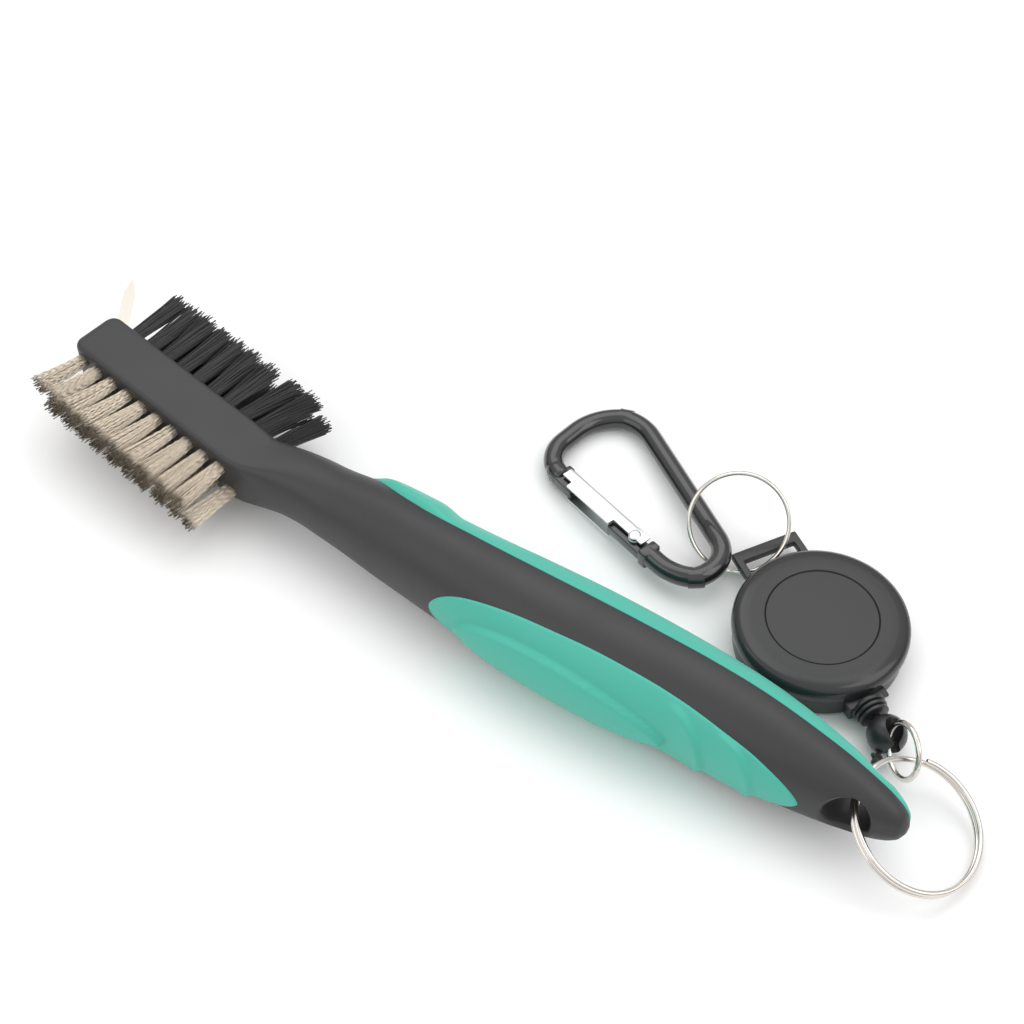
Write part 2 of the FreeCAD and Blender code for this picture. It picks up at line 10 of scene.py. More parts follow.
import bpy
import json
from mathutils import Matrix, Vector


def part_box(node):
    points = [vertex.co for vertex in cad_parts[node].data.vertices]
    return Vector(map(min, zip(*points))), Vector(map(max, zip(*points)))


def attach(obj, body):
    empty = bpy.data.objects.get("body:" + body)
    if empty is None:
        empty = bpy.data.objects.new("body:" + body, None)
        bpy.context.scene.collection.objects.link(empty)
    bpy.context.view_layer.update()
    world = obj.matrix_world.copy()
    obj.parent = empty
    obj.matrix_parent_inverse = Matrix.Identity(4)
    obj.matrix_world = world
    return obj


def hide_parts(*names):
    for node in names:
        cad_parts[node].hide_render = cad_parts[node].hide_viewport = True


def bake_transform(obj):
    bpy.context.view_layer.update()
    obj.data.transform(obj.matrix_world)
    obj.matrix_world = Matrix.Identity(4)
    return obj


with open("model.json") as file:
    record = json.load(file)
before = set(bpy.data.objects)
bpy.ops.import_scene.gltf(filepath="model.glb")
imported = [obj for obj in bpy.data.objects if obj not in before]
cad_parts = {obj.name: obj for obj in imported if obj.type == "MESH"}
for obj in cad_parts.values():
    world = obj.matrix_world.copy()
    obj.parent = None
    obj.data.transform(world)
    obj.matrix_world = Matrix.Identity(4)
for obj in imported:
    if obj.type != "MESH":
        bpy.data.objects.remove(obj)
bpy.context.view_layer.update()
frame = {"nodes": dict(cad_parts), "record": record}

# %% Tools
import json
import math
import random

import bmesh
import bpy
import numpy as np
from mathutils import Matrix, Vector

scene = bpy.context.scene
MM = 0.001

# %% [markdown]
# ## Measuring from the brush
#
# A maker measures a brush from the free end of its head. The frame's own zero is the middle of
# the footprint, so one helper turns brush measurements in millimetres into frame metres. The
# reel is round and easy to find, so its cover fixes where the brush's zero is.

# %% Brush measurements to frame places
REEL_MIDDLE = Vector((152.4, 31.1, 0))
REEL_TURN = math.radians(-31.0)
cover_low, cover_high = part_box("reel_front_cover")
ZERO = Vector(((cover_low[0] + cover_high[0]) / 2, (cover_low[1] + cover_high[1]) / 2,
               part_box("reel_back_cover")[0][2])) - REEL_MIDDLE * MM


def at(x, y, z=0.0):
    return ZERO + Vector((x, y, z)) * MM


print("brush zero is at", [round(c * 1000, 2) for c in ZERO], "mm")

# %% [markdown]
# ## The camera
#
# The view looks down on the brush from beyond its tail, on the wire side. A long lens from
# 40 cm keeps the shapes calm, with little perspective.

# %% Camera
EYE = at(228.9, -179.8, 317.6)
LOOK = at(87.9, 24.5, 0)
camera = bpy.data.objects.new("camera", bpy.data.cameras.new("camera"))
camera.data.lens = 72.42
camera.data.sensor_width = 36.0
camera.location = EYE
camera.rotation_euler = (LOOK - EYE).to_track_quat("-Z", "Y").to_euler()
scene.collection.objects.link(camera)
scene.camera = camera
print("camera distance", round((LOOK - EYE).length, 3), "m")

# %% [markdown]
# ## Helpers that every piece uses
#
# `keep` turns a bmesh into a finished object: smooth, with edges sharper than an angle kept
# crisp, riding on its body and taking its finish from a slot. `curve_through` draws a smooth
# line through a few known values, as a maker does with a flexible ruler. `wrapped` takes one
# flat grid and rolls it round a list of cross-sections, which suits handles and bent rods,
# because the rows and columns stay even and the seam is welded at the end.

# %% Finished pieces
kept_pieces = []


def keep(name, bm, body, slot, replaced=(), sharp=38):
    bmesh.ops.recalc_face_normals(bm, faces=bm.faces)
    mesh = bpy.data.meshes.new(name)
    bm.to_mesh(mesh)
    bm.free()
    return keep_mesh(name, mesh, body, slot, replaced, sharp)


def keep_mesh(name, mesh, body, slot, replaced, sharp):
    mesh.shade_smooth()
    mesh.set_sharp_from_angle(angle=math.radians(sharp))
    obj = bpy.data.objects.new(name, mesh)
    scene.collection.objects.link(obj)
    if body:
        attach(obj, body)
    if replaced:
        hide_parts(*replaced)
    kept_pieces.append((obj, slot))
    print(name, "has", len(mesh.polygons), "faces")
    return obj


# %% Smooth lines through known values
def curve_through(knots, values, places):
    knots = np.asarray(knots, float)
    values = np.asarray(values, float)
    places = np.asarray(places, float)
    slopes = np.gradient(values, knots)
    i = np.clip(np.searchsorted(knots, places) - 1, 0, len(knots) - 2)
    span = knots[i + 1] - knots[i]
    t = (places - knots[i]) / span
    return ((2 * t ** 3 - 3 * t ** 2 + 1) * values[i] + (t ** 3 - 2 * t ** 2 + t) * span * slopes[i]
            + (3 * t ** 2 - 2 * t ** 3) * values[i + 1] + (t ** 3 - t ** 2) * span * slopes[i + 1])


def eased(t):
    t = np.clip(t, 0, 1)
    return t * t * (3 - 2 * t)


# %% A grid rolled round cross-sections
WELD = 2e-6


def wrapped(rings):
    rows, columns = rings.shape[:2]
    bm = bmesh.new()
    bm.loops.layers.uv.new("UVMap")
    bmesh.ops.create_grid(bm, x_segments=rows - 1, y_segments=columns, size=1.0, calc_uvs=True)
    for v in bm.verts:
        row = round((v.co.x + 1) / 2 * (rows - 1))
        column = round((v.co.y + 1) / 2 * columns)
        v.co = at(*rings[row, column % columns])
    bmesh.ops.remove_doubles(bm, verts=bm.verts, dist=WELD)
    rim = [e for e in bm.edges if e.is_boundary]
    bmesh.ops.holes_fill(bm, edges=rim, sides=0)
    return bm


# %% [markdown]
# ## The handle's skin
#
# On the real brush the head, neck and grip are one black moulding. The head is a bar with
# rounded edges, and its cross-section melts into ovals along the grip. A handle like this could
# be sculpted from a box, but a loft through measured cross-sections keeps its width and height
# true at every place, so a table of stations drives it. The first rows round the free end over,
# the middle rows turn the bar into the neck, and the last ones close the tail.

# %% The head's rows
HEAD_START = np.array((-0.65, 4.9))
HEAD_TOE = math.radians(8.27)
HEAD_DIR = np.array((math.cos(HEAD_TOE), -math.sin(HEAD_TOE)))
HEAD_SIDE = np.array((math.sin(HEAD_TOE), math.cos(HEAD_TOE)))
HEAD_HALF = 5.5
HEAD_TALL = 5.65
HEAD_MIDDLE = 10.95
END_ROUND = 2.0     # the free end, seen from the wire side
END_SOFT = 3.0      # the free end, seen from above


def head_row(along):
    """x, y, turn, half thickness, half height, middle z and roundness of a head section."""
    drop = END_ROUND - math.sqrt(END_ROUND ** 2 - max(0.0, END_ROUND - along) ** 2)
    inset = END_SOFT - math.sqrt(END_SOFT ** 2 - max(0.0, END_SOFT - along) ** 2)
    x, y = HEAD_START + along * HEAD_DIR
    return (x, y, -HEAD_TOE, HEAD_HALF - inset, HEAD_TALL - drop, HEAD_MIDDLE, 0.0)


head_rows = [head_row(a) for a in np.concatenate((3 * np.linspace(0, 1, 16) ** 1.7,
                                                  np.linspace(4.2, 41, 26)))]

# %% The neck's and grip's rows
# x, middle y, turn in degrees, half thickness, half height, middle z, roundness
STATIONS = np.array((
    (40.9, -1.14, -8.27, 5.5, 5.65, 10.95, 0.0), (44.5, -1.65, -7.5, 5.5, 5.65, 10.95, 0.08),
    (47.5, -1.75, -5.0, 5.55, 5.75, 11, 0.3), (51.0, -1.0, -2.0, 5.9, 6.1, 11, 0.6),
    (54.0, -0.35, 0, 6.2, 6.45, 11, 0.8), (58.0, 0.1, 0, 6.45, 6.8, 11, 0.9),
    (64.0, 0.15, 0, 6.9, 7.3, 11, 1.0), (70.0, 0.3, 0, 7.4, 8.2, 11, 1.0),
    (76.0, 0.25, 0, 7.95, 9.0, 11, 1.0),
    (84.05, 0, 0, 8.35, 9.75, 11, 1), (96.17, -0.3, 0, 9.05, 10.5, 11, 1),
    (108.2, -0.3, 0, 9.98, 10.89, 11, 1), (120.1, 0, 0, 10.4, 11, 11, 1),
    (132.3, 0.3, 0, 10.3, 11, 11, 1), (144.2, 0.7, 0, 9.67, 10.67, 11, 1),
    (156.2, 0.6, 0, 8.89, 10.12, 11, 1), (166.2, 0.35, 0, 7.59, 8.8, 11, 1),
    (174.3, 0, 0, 6.08, 7.37, 11, 1), (179.5, -0.3, 0, 4.86, 6.0, 11, 1),
    (182.6, -0.45, 0, 3.85, 4.8, 11, 1), (184.6, -0.57, 0, 2.85, 3.55, 11, 1),
    (185.7, -0.65, 0, 1.9, 2.4, 11, 1), (186.3, -0.7, 0, 0.75, 0.95, 11, 1)))
STATIONS[:, 2] = np.radians(STATIONS[:, 2])
body_x = np.concatenate((np.arange(40.9, 182, 0.9), np.linspace(182, 186.3, 16)))
body_rows = np.column_stack([body_x] + [curve_through(STATIONS[:, 0], STATIONS[:, k], body_x)
                                        for k in range(1, 7)])


# %% From rows to rings
SIDE_POINTS, ARC_POINTS, TOP_POINTS = 10, 8, 6
EDGE_RADIUS = 1.1     # the head's long edges


def quarter(half_thick, half_height, edge, roundness):
    """A quarter of a section, from its side to its top: a rounded corner melting to an oval."""
    side, arc, top = SIDE_POINTS, ARC_POINTS, TOP_POINTS
    corner = (half_thick - edge, half_height - edge)
    turn = np.linspace(0, np.pi / 2, arc, endpoint=False)
    box = np.concatenate((
        np.column_stack((np.full(side, half_thick), np.linspace(0, corner[1], side, endpoint=False))),
        np.column_stack((corner[0] + edge * np.cos(turn), corner[1] + edge * np.sin(turn))),
        np.column_stack((np.linspace(corner[0], 0, top, endpoint=False), np.full(top, half_height)))))
    angle = np.radians(np.concatenate((np.linspace(0, 44, side, endpoint=False),
                                       np.linspace(44, 68, arc, endpoint=False),
                                       np.linspace(68, 90, top, endpoint=False))))
    oval = np.column_stack((half_thick * np.cos(angle), half_height * np.sin(angle)))
    return (1 - roundness) * box + roundness * oval


def ring(row):
    x, y, turn, half_thick, half_height, middle, roundness = row
    edge = min(EDGE_RADIUS, half_thick * 0.8, half_height * 0.8)
    q = quarter(half_thick, half_height, edge, roundness)
    swap = quarter_back(q, half_height)
    loop = np.concatenate((q, swap * (-1, 1), q * (-1, -1), swap * (1, -1)))
    across, up = loop[:, 0], loop[:, 1]
    return np.column_stack((x - math.sin(turn) * across, y + math.cos(turn) * across, middle + up))


def quarter_back(q, half_height):
    """The same quarter run the other way, from the top down to the side."""
    return np.concatenate(([(0, half_height)], q[:0:-1]))


skin_rings = np.array([ring(row) for row in list(head_rows) + list(body_rows)])
skin = wrapped(skin_rings)
print("skin:", len(skin_rings), "rings of", skin_rings.shape[1], "points")

# %% [markdown]
# ## The tail hole
#
# A hole with a softly rounded rim goes right through the tail for the split ring. Punching it
# in the grid by hand would break the even rows, so a plug shaped like two trumpets set back to
# back is cut away with a Boolean. Its bells start just under the skin, which rounds the rim.

# %% The trumpet plug
HOLE_X, HOLE_Z, HOLE_RADIUS = 176.6, 11.2, 4.2
RIM_ROUND = 1.0


def section_at(x):
    """Middle y, half thickness, half height and middle z of the handle at x."""
    k = STATIONS[:, 0]
    return [curve_through(k, STATIONS[:, c], x) for c in (1, 3, 4, 5)]


def plug_rings():
    turn = np.linspace(0, 2 * np.pi, 48, endpoint=False)
    sides = []
    for side in (-1, 1):
        rows = []
        for bend in np.radians((0, 15, 30, 45, 58, 68)):
            radius = HOLE_RADIUS + RIM_ROUND * (1 - math.cos(bend))
            rows.append((radius, -RIM_ROUND * (1 - math.sin(bend))))
        rows.append((rows[-1][0] + 2.2, rows[-1][1] + 1.1))
        rows.append((rows[-1][0] + 0.2, rows[-1][1] + 2.0))
        made = []
        for radius, lift in rows:
            x = HOLE_X + radius * np.cos(turn)
            z = HOLE_Z + radius * np.sin(turn)
            rim_x = HOLE_X + (HOLE_RADIUS + RIM_ROUND) * np.cos(turn)
            rim_z = HOLE_Z + (HOLE_RADIUS + RIM_ROUND) * np.sin(turn)
            middle, thick, height, centre = section_at(rim_x)
            skin_y = thick * np.sqrt(np.clip(1 - ((rim_z - centre) / height) ** 2, 0.02, 1))
            made.append(np.column_stack((x, middle + side * (skin_y + lift), z)))
        sides.append(made)
    return np.array(sides[0][::-1] + sides[1])


def cut_away(bm, plug):
    """The bmesh with the plug's shape removed from it, as a new mesh."""
    meshes = []
    for source in (bm, plug):
        bmesh.ops.recalc_face_normals(source, faces=source.faces)
        mesh = bpy.data.meshes.new("work")
        source.to_mesh(mesh)
        source.free()
        meshes.append(bpy.data.objects.new("work", mesh))
        scene.collection.objects.link(meshes[-1])
    body, tool = meshes
    cutter = body.modifiers.new("cut", "BOOLEAN")
    cutter.operation = "DIFFERENCE"
    cutter.solver = "EXACT"
    cutter.object = tool
    bpy.context.view_layer.update()
    shown = body.evaluated_get(bpy.context.evaluated_depsgraph_get())
    result = bpy.data.meshes.new_from_object(shown)
    for obj in (body, tool):
        bpy.data.objects.remove(obj)
    return result


keep_mesh("handle_skin", cut_away(skin, wrapped(plug_rings())), "brush", "handle_black",
          ("handle_body",), sharp=30)

# %% [markdown]
# ## The soft grips
#
# The green rubber is moulded over the handle: an oval with a raised thumb pad and two finger
# ridges on the wire side, and a long leaf round the back that runs to the tip of the tail. Each
# grip is a patch of the handle's own surface, raised straight out of it and given a back under
# the skin, so that it is one closed shell. How far a point rises depends on how near it is to
# the patch's outline, so the edge rolls over and dives under the skin, and no gap can show.

# %% A patch that stands proud of the skin
PROUD = 0.27
EDGE_ROLL = 0.55
SINK = 0.3
BACKING = 1.0       # how far the rubber reaches under the skin
PINCH = 0.15        # half-height that is left where an outline closes


def on_skin(x, angle):
    """Points of the handle's ovals: the angle is measured from +Y, rising towards +Z."""
    middle, thick, height, centre = section_at(x)
    return np.stack((x, middle + thick * np.cos(angle), centre + height * np.sin(angle)), axis=-1)


def edge_distance(points, outline):
    flat = points.reshape(-1, 3)
    gaps = [np.sqrt(((flat[k:k + 2000, None, :] - outline[None]) ** 2).sum(-1)).min(1)
            for k in range(0, len(flat), 2000)]
    return np.concatenate(gaps).reshape(points.shape[:-1])


def skin_normals(points):
    """Square to the handle's ovals, so that a raised point moves straight out of the skin."""
    middle, thick, height, centre = section_at(points[..., 0])
    out = np.stack((0 * middle, (points[..., 1] - middle) / thick ** 2,
                    (points[..., 2] - centre) / height ** 2), axis=-1)
    return out / np.linalg.norm(out, axis=-1, keepdims=True)


def patch(points, lift):
    """A closed shell over a grid of skin points, raised by lift(points)."""
    outline = np.concatenate((points[0], points[-1], points[:, 0], points[:, -1]))
    gap = edge_distance(points, outline)
    roll = np.sqrt(np.clip(1 - (1 - np.clip(gap / EDGE_ROLL, 0, 1)) ** 2, 0, 1))
    rise = -SINK + (SINK + PROUD) * roll + lift(points) * eased(gap / 1.2)
    normal = skin_normals(points)
    outer = points + normal * rise[..., None]
    inner = points - normal * BACKING
    return wrapped(np.concatenate((outer, inner[:, ::-1]), axis=1))


# %% Front grip: the oval, its thumb pad and finger ridges
AXIS_Z = 11         # the middle height of the handle
OVAL_X = np.array((92.5, 93.2, 95.0, 98.5, 103.0, 110.0, 118.0, 127.0, 136.0, 144.0, 151.0, 158.0,
                   163.5, 166.8, 168.1, 168.6))
OVAL_H = np.array((0, 2.0, 4.1, 6.1, 7.4, 8.5, 9.0, 9.3, 9.1, 8.45, 7.6, 6.3, 4.3, 2.4, 1.1, 0))
PAD_X = np.array((99.0, 100.0, 103.0, 108.0, 115.0, 123.0, 131.0, 137.0, 141.0, 143.0, 143.6))
PAD_H = np.array((0, 1.7, 3.4, 4.7, 5.4, 5.35, 4.6, 3.5, 2.2, 1.0, 0))
PAD_RISE = 1.15
RIDGES = ((141.5, 9.6, 8.6), (151.0, 9.2, 8.8))   # x, z and radius of each ridge's arc
RIDGE_RISE = 0.75


def outline_height(x, knots, heights):
    """A half-height that closes round at both ends: the angle along it is what is smooth."""
    turn = np.arccos(np.clip(1 - 2 * (knots - knots[0]) / (knots[-1] - knots[0]), -1, 1))
    here = np.arccos(np.clip(1 - 2 * (x - knots[0]) / (knots[-1] - knots[0]), -1, 1))
    return np.maximum(curve_through(turn, heights, here), 0)


def pad_and_ridges(points):
    x, z = points[..., 0], points[..., 2]
    inside = outline_height(np.clip(x, PAD_X[0], PAD_X[-1]), PAD_X, PAD_H) - np.abs(z - AXIS_Z)
    inside = np.where((x > PAD_X[0]) & (x < PAD_X[-1]), inside, -9)
    lift = PAD_RISE * eased(inside / 0.9) * (1 + 0.1 * np.clip(inside / 5, 0, 1))
    for ridge_x, ridge_z, radius in RIDGES:
        out = np.hypot(x - ridge_x, z - ridge_z) - radius
        shape = np.where(out < 0, np.exp(np.minimum(out, 0) / 2.4), 1 - eased(out / 1.1))
        lift = lift + RIDGE_RISE * shape * (x > ridge_x - 1) * eased((x - ridge_x) / 3)
    return lift


turns = np.linspace(0, np.pi, 230)
oval_x = OVAL_X[0] + (OVAL_X[-1] - OVAL_X[0]) * (1 - np.cos(turns)) / 2
oval_h = np.maximum(outline_height(oval_x, OVAL_X, OVAL_H), PINCH)
across = np.sin(np.linspace(-np.pi / 2, np.pi / 2, 61))
grid_x = np.repeat(oval_x[:, None], len(across), axis=1)
_, _, tall, centre = section_at(grid_x)
reach = np.clip((AXIS_Z + oval_h[:, None] * across[None] - centre) / tall, -0.98, 0.98)
front_points = on_skin(grid_x, np.pi - np.arcsin(reach))
keep("front_grip_skin", patch(front_points, pad_and_ridges), "brush", "grip_green",
     ("front_grip",), sharp=50)

# %% Back grip: the long leaf
LEAF_X = np.array((66.3, 67.0, 69.0, 72.0, 76.0, 82.0, 95.0, 150.0, 172.0, 180.0, 184.0, 186.05))
LEAF_ANGLE = np.array((0, 13, 33, 50, 62, 69, 71, 71, 69, 66, 60, 48))
BACK_PAD = 1.0


def back_pad(points):
    x = points[..., 0]
    return BACK_PAD * eased((x - 67) / 7) * (1 - eased((x - 83.5) / 6))


leaf_x = np.concatenate((66.3 + 6 * np.linspace(0, 1, 26) ** 1.6, np.arange(73, 181, 0.75),
                         np.linspace(181, 186.05, 22)))
leaf_reach = np.radians(np.maximum(curve_through(LEAF_X, LEAF_ANGLE, leaf_x), 1.0))
grid_x = np.repeat(leaf_x[:, None], 57, axis=1)
leaf_points = on_skin(grid_x, leaf_reach[:, None] * np.sin(np.linspace(-np.pi / 2, np.pi / 2, 57)))
leaf = patch(leaf_points, back_pad)
keep_mesh("back_grip_skin", cut_away(leaf, wrapped(plug_rings())), "brush", "grip_green",
          ("back_grip",), sharp=50)

# %% [markdown]
# ## Wire and nylon tufts
#
# A real tuft is a folded bundle of strands, held in its hole by a staple. The wire is crimped in
# small waves and spreads from a tight root to a wide tip. Each strand is one thin line of a
# curve object with a round bevel, which is much lighter than modelling tubes one at a time, and
# the curve is made a mesh at the end. Every strand is seeded, so the brush is the same each run.

# %% Where the tufts stand
ROW_HEIGHTS = {"top": 13.55, "bottom": 8.35}
TUFT_PITCH = 4.46


def tuft_roots(first, count, row):
    start = first + (TUFT_PITCH / 2 if row == "bottom" else 0)
    return [start + i * TUFT_PITCH for i in range(count)]


# %% Strands made of curve lines
ROOT_DEPTH = 0.9    # how far a strand starts inside the head


def strands(name, lines, radius, slot, node):
    curve = bpy.data.curves.new(name, "CURVE")
    curve.dimensions = "3D"
    curve.bevel_depth = radius * MM
    curve.bevel_resolution = 0
    curve.use_fill_caps = True
    for line in lines:
        spline = curve.splines.new("POLY")
        spline.points.add(len(line) - 1)
        spline.points.foreach_set("co", np.column_stack((line, np.ones(len(line)))).ravel())
    maker = bpy.data.objects.new(name, curve)
    scene.collection.objects.link(maker)
    bpy.context.view_layer.update()
    mesh = bpy.data.meshes.new_from_object(maker.evaluated_get(bpy.context.evaluated_depsgraph_get()))
    bpy.data.objects.remove(maker)
    bpy.data.curves.remove(curve)
    return keep_mesh(name, mesh, "brush", slot, (node,), sharp=80)


def strand(root, side, lean, rise, spot, radii, length, wave, pitch, points, rng):
    """One strand's points: spot is its place in the bundle's round, from -1 to 1 each way."""
    t = np.linspace(0, 1, points)
    spread = radii[0] + (radii[1] - radii[0]) * t ** 1.1
    along = root[0] + spot[0] * spread + lean * length * t ** 1.3
    up = root[1] + spot[1] * spread + rise * t ** 1.5
    out = side * (HEAD_HALF - ROOT_DEPTH + (length + ROOT_DEPTH) * t)
    phase = rng.uniform(0, 2 * math.pi)
    turn = rng.uniform(0, math.pi)
    ripple = wave * np.sin(2 * math.pi * t * length / pitch + phase) * np.clip(t * 6, 0, 1)
    along = along + ripple * math.cos(turn)
    up = up + ripple * math.sin(turn)
    xy = HEAD_START + along[:, None] * HEAD_DIR + out[:, None] * HEAD_SIDE
    return np.column_stack((xy, up)) * MM + np.array(ZERO)


def bundle_spots(count, rng):
    """Evenly scattered places in a round bundle, a little jittered."""
    golden = math.pi * (3 - math.sqrt(5))
    spots = []
    for i in range(count):
        r = math.sqrt((i + 0.5) / count) * rng.uniform(0.93, 1.04)
        a = i * golden + rng.uniform(-0.12, 0.12)
        spots.append((r * math.cos(a), r * math.sin(a)))
    return spots


# %% Crimped wire rows
WIRE_LENGTH = 11.6
SPLAY = 2.0         # the tufts nearest the free end lift by this at their tips
for row, height in ROW_HEIGHTS.items():
    rng = random.Random("wire " + row)
    lines = []
    for along in tuft_roots(3.6, 10, row):
        tilt = rng.uniform(-0.035, 0.035)
        rise = SPLAY * (1 - along / 48)
        for spot in bundle_spots(72, rng):
            length = WIRE_LENGTH + rng.uniform(-0.9, 0.15)
            lean = tilt + rng.gauss(0, 0.018)
            lines.append(strand((along, height), -1, lean, rise, spot, (1.3, 1.98), length, 0.085,
                                rng.uniform(1.5, 1.9), 30, rng))
    strands("wire_tufts_" + row, lines, 0.105, "bristle_wire", "wire_row_" + row)

# %% Nylon rows
NYLON_LENGTH = 13.3
for row, height in ROW_HEIGHTS.items():
    rng = random.Random("nylon " + row)
    lines = []
    for i, along in enumerate(tuft_roots(6.1, 9, row)):
        tilt = rng.uniform(-0.03, 0.03) + 0.24 * eased((i - 5.5) / 2)
        for spot in bundle_spots(96, rng):
            length = NYLON_LENGTH + rng.uniform(-1.5, 0.1)
            lean = tilt + rng.gauss(0, 0.035)
            lines.append(strand((along, height), 1, lean, 0.0, spot, (1.3, 1.98), length, 0.12,
                                rng.uniform(22, 34), 7, rng))
    strands("nylon_tufts_" + row, lines, 0.13, "bristle_nylon", "nylon_row_" + row)

# %% [markdown]
# ## Split rings and the jump ring
#
# A split ring is one wire wound twice round. Each turn lies flat on the other, and near the two
# cut ends the wire steps over by its own thickness. A circle is swept along that path as a grid
# rolled round it. The small jump ring is one turn with a butt joint.

# %% Sweeping a round section along a path
def swept(path, radius, sides):
    """Rings of a round rod: a frame is carried along the path without twisting."""
    path = np.asarray(path, float)
    tangents = np.gradient(path, axis=0)
    tangents /= np.linalg.norm(tangents, axis=1, keepdims=True)
    side = np.cross(tangents[0], (0.0, 0.0, 1.0))
    if np.linalg.norm(side) < 0.1:
        side = np.cross(tangents[0], (0.0, 1.0, 0.0))
    radii = np.broadcast_to(np.asarray(radius, float), len(path))
    turn = np.linspace(0, 2 * np.pi, sides, endpoint=False)
    rings = []
    for point, tangent, r in zip(path, tangents, radii):
        side = side - tangent * side.dot(tangent)
        side /= np.linalg.norm(side)
        up = np.cross(side, tangent)
        rings.append(point + r * (np.cos(turn)[:, None] * side + np.sin(turn)[:, None] * up))
    return np.array(rings)


def ring_axes(normal):
    """The ring's own flat axes in the brush's frame, as columns."""
    turn = Vector((0, 0, 1)).rotation_difference(Vector(normal).normalized())
    return np.array(turn.to_matrix())


def split_ring(name, body, node, radius, wire, centre, normal, start, wrap):
    """A wire wound from its cut end at the start angle, for wrap degrees, stepping over once."""
    gone = np.linspace(0, wrap, 400)
    over = eased((gone - (wrap / 2 - 22)) / 44)
    lift = wire * 1.0 * (1 - 2 * over)
    angle = np.radians(start - gone)
    flat = np.column_stack((radius * np.cos(angle), radius * np.sin(angle), lift))
    path = flat @ ring_axes(normal).T + np.array(centre)
    thick = np.full(400, wire)
    thick[[0, -1]] = wire * 0.8
    return keep(name, wrapped(swept(path, thick, 14)), body, "nickel_wire", (node,), sharp=45)


split_ring("tail_ring_coil", "tail_ring", "tail_split_ring", 12.2, 0.54, (186.6, 3.8, 6.3),
           (0.393, 0.065, 0.917), 113, 655)
split_ring("reel_ring_coil", "reel_ring", "reel_split_ring", 9.5, 0.41, (128.35, 41.81, 7.85),
           (0.301, -0.651, 0.697), 292, 690)

# %% Jump ring
JUMP_CENTRE, JUMP_NORMAL = (177.75, 15.35, 6.75), (-0.63, -0.731, 0.262)
angles = np.radians(np.linspace(100.6, 459.4, 120))
loop = np.column_stack((5 * np.cos(angles), 5 * np.sin(angles), 0 * angles))
keep("jump_ring_wire", wrapped(swept(loop @ ring_axes(JUMP_NORMAL).T + np.array(JUMP_CENTRE), 0.55, 16)),
     "jump_link", "nickel_wire", ("jump_ring",), sharp=45)

# %% [markdown]
# ## The cord reel
#
# The reel is two round covers snapped together. Turned parts like these are quickest from half a
# profile, spun once round the axis. Each corner of the profile is drawn as a small arc first, so
# the rims catch the light as moulded edges do. The front cover has a fine circle cut in its face.

# %% Profiles and spinning
REEL = (Matrix.Translation(at(*REEL_MIDDLE)) @ Matrix.Rotation(REEL_TURN, 4, "Z")
        @ Matrix.Diagonal((MM, MM, MM, 1)))


CORNER_STEPS = 4


def softened(corners):
    """An outline of (x, z, softness) corners: each is replaced by a small arc that long."""
    line = []
    for i, (x, z, soft) in enumerate(corners):
        here = Vector((x, z))
        if soft == 0 or i in (0, len(corners) - 1):
            line.append(here)
            continue
        before = (Vector(corners[i - 1][:2]) - here).normalized() * soft
        after = (Vector(corners[i + 1][:2]) - here).normalized() * soft
        for k in range(CORNER_STEPS + 1):
            t = k / CORNER_STEPS
            line.append(here + before * (1 - t) ** 2 + after * t ** 2)
    return line


def spun(corners, steps=128):
    bm = bmesh.new()
    points = [bm.verts.new((p.x, 0, p.y)) for p in softened(corners)]
    edges = [bm.edges.new(pair) for pair in zip(points, points[1:])]
    bmesh.ops.spin(bm, geom=points + edges, cent=(0, 0, 0), axis=(0, 0, 1), dvec=(0, 0, 0),
                   angle=2 * math.pi, steps=steps, use_merge=True, use_duplicate=False)
    bmesh.ops.remove_doubles(bm, verts=bm.verts, dist=0.002)
    return bm


def block(bm, x0, x1, y0, y1, z0, z1, soft, segments=3):
    """A box with softened edges, added to the bmesh."""
    made = bmesh.ops.create_cube(bm, size=1.0)["verts"]
    size = Matrix.Diagonal((x1 - x0, y1 - y0, z1 - z0, 1))
    place = Matrix.Translation(((x0 + x1) / 2, (y0 + y1) / 2, (z0 + z1) / 2))
    bmesh.ops.transform(bm, matrix=place @ size, verts=made)
    edges = {e for v in made for e in v.link_edges}
    bmesh.ops.bevel(bm, geom=list(edges), offset=soft, segments=segments, affect="EDGES",
                    profile=0.5, material=-1)


def put(bm, matrix):
    bmesh.ops.transform(bm, matrix=matrix, verts=bm.verts)
    return bm


# %% Front cover
front = spun(((0, 8.8, 0), (10.32, 8.8, 0.1), (10.45, 8.55, 0.08), (10.62, 8.9, 0.1),
              (13.3, 8.9, 1.6), (15.75, 8.2, 0.9), (16.5, 7.0, 0.8), (16.5, 5.5, 0.15),
              (15.4, 5.45, 0.1), (14.6, 7.7, 0.3), (0, 7.7, 0)))
keep("reel_front", put(front, REEL), "reel", "reel_gloss", ("reel_front_cover",), sharp=50)

# %% Back cover with the cord boss and the ring lug
back = spun(((0, 0.02, 0), (15.1, 0.02, 0.3), (15.9, 0.85, 0.3), (15.9, 5.3, 0.15), (14.9, 5.3, 0.1),
             (14.6, 1.2, 0.1), (0, 1.2, 0)))
block(back, 14.9, 17.4, -3.5, 3.5, 0.9, 4.7, 0.3)
block(back, 14.9, 17.9, -4.1, 4.1, 4.5, 5.3, 0.25)

LUG_LOW, LUG_HIGH = 0.6 - 6.9, 0.6 + 6.9


